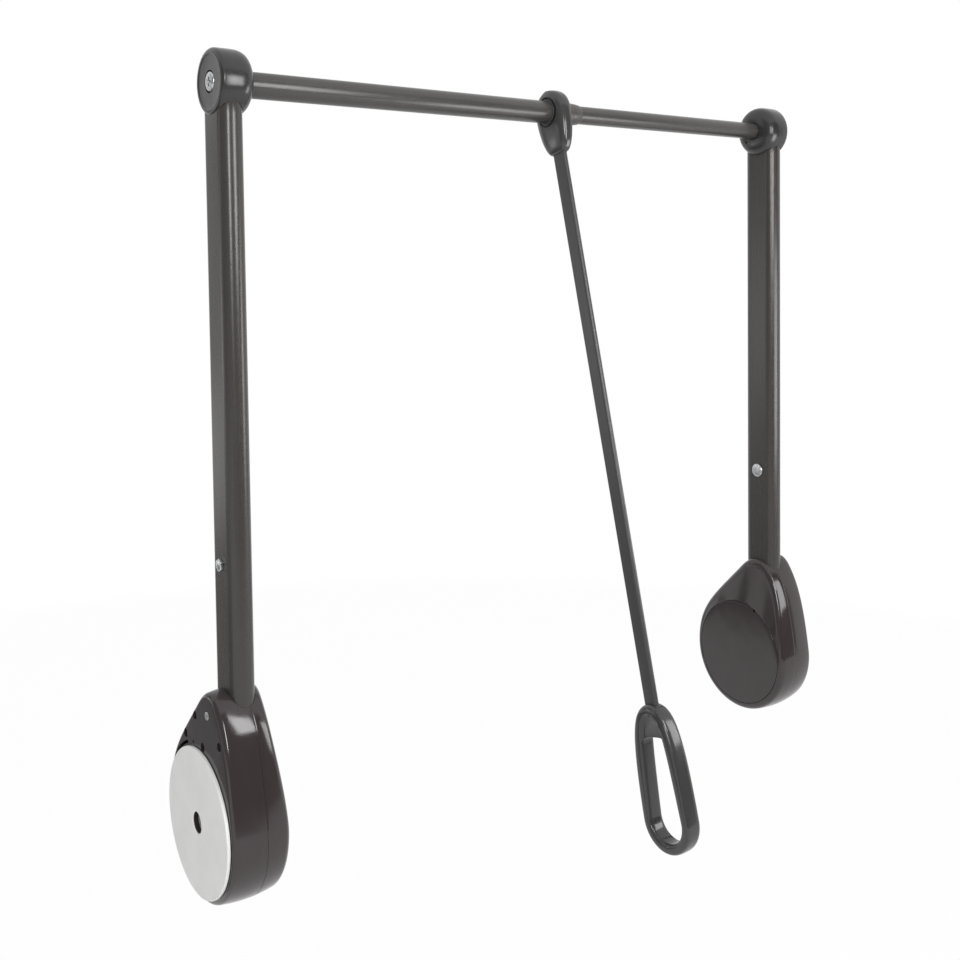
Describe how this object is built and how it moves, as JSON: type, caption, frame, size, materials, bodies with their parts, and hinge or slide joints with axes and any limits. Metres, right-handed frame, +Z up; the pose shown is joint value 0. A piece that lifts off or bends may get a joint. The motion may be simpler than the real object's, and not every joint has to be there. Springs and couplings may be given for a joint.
{
  "type": "pull down closet rod",
  "caption": "Wardrobe lift: two sprung side arms on round wall mounts carry a telescopic hanging bar, swung down by a pull rod with a loop handle.",
  "frame": {"origin": "centre of the left wall disc's wall face, on the axis that the arms swing about", "axes": "+X along the bar to the right wall disc, -Y to the front towards the person who pulls, +Z up along the raised arms"},
  "size_m": [0.859, 0.3339, 0.8565],
  "materials": {
    "white_nylon": "satin",
    "black_nylon": "satin",
    "housing": "gloss",
    "knob": "gloss",
    "pull_plastic": "gloss",
    "arm_paint": "satin metallic",
    "bar_paint": "satin metallic",
    "rod_paint": "satin metallic",
    "steel": "machined",
    "spring_steel": "drawn",
    "zinc": "bright zinc plated"
  },
  "bodies": {
    "left_hub": {"left_wall_disc": "white_nylon", "left_axle": "steel", "left_pinion": "steel", "left_axle_washer": "zinc", "left_axle_nut": "zinc"},
    "left_arm": {"left_outer_shell": "housing", "left_inner_shell": "housing", "left_round_cover": "housing", "left_shell_screw_1": "zinc", "left_shell_screw_2": "zinc", "left_shell_screw_3": "zinc", "left_shell_screw_4": "zinc", "left_shell_screw_5": "zinc", "left_clamp_pin": "zinc", "left_axle_bush": "white_nylon", "left_arm_tube": "arm_paint", "left_anchor_block": "white_nylon", "left_anchor_bolt": "zinc", "left_anchor_nut": "zinc", "left_knob": "knob", "left_knob_screw": "zinc", "left_bar_plug": "steel", "outer_bar_tube": "bar_paint", "bar_bush": "black_nylon", "ring_clip": "spring_steel"},
    "left_rack": {"left_rack": "steel", "left_spring_seat": "white_nylon", "left_spring": "spring_steel"},
    "right_arm": {"right_outer_shell": "housing", "right_inner_shell": "housing", "right_round_cover": "housing", "right_shell_screw_1": "zinc", "right_shell_screw_2": "zinc", "right_shell_screw_3": "zinc", "right_shell_screw_4": "zinc", "right_shell_screw_5": "zinc", "right_clamp_pin": "zinc", "right_axle_bush": "white_nylon", "right_arm_tube": "arm_paint", "right_anchor_block": "white_nylon", "right_anchor_bolt": "zinc", "right_anchor_nut": "zinc", "right_knob": "knob", "right_knob_screw": "zinc", "right_bar_plug": "steel", "inner_bar_tube": "bar_paint", "bar_guide_plug": "white_nylon"},
    "right_rack": {"right_rack": "steel", "right_spring_seat": "white_nylon", "right_spring": "spring_steel"},
    "right_hub": {"right_wall_disc": "white_nylon", "right_axle": "steel", "right_pinion": "steel", "right_axle_washer": "zinc", "right_axle_nut": "zinc"},
    "pull": {"pull_ring": "pull_plastic", "pull_rod": "rod_paint", "handle": "pull_plastic", "ring_screw": "zinc", "handle_screw": "zinc"}
  },
  "joints": [
    {"name": "arm_swing", "type": "hinge", "parent": "left_hub", "child": "left_arm", "pos_m": [0, 0, 0], "axis": [1, 0, 0], "range_deg": [0, 95], "stiffness_Nm_per_rad": 11.3, "springref_deg": -75.63},
    {"name": "width_slide", "type": "slide", "parent": "left_arm", "child": "right_arm", "axis": [1, 0, 0], "range_m": [-0.029, 0.291]},
    {"name": "right_hub_turn", "type": "hinge", "parent": "right_arm", "child": "right_hub", "pos_m": [0.859, 0, 0], "axis": [1, 0, 0], "range_deg": [-95, 0]},
    {"name": "left_rack_slide", "type": "slide", "parent": "left_arm", "child": "left_rack", "axis": [0, 0, 1], "range_m": [0, 0.03], "deforming": ["left_spring"]},
    {"name": "right_rack_slide", "type": "slide", "parent": "right_arm", "child": "right_rack", "axis": [0, 0, 1], "range_m": [0, 0.03], "deforming": ["right_spring"]},
    {"name": "pull_turn", "type": "hinge", "parent": "left_arm", "child": "pull", "pos_m": [0.448, -0.0225, 0.733], "axis": [1, 0, 0], "range_deg": [-170, 90]}
  ],
  "couplings": [
    {"joint": "right_hub_turn", "follows": "arm_swing", "ratio": -1},
    {"joint": "left_rack_slide", "follows": "arm_swing", "m_per_rad": 0.018},
    {"joint": "right_rack_slide", "follows": "arm_swing", "m_per_rad": 0.018}
  ]
}
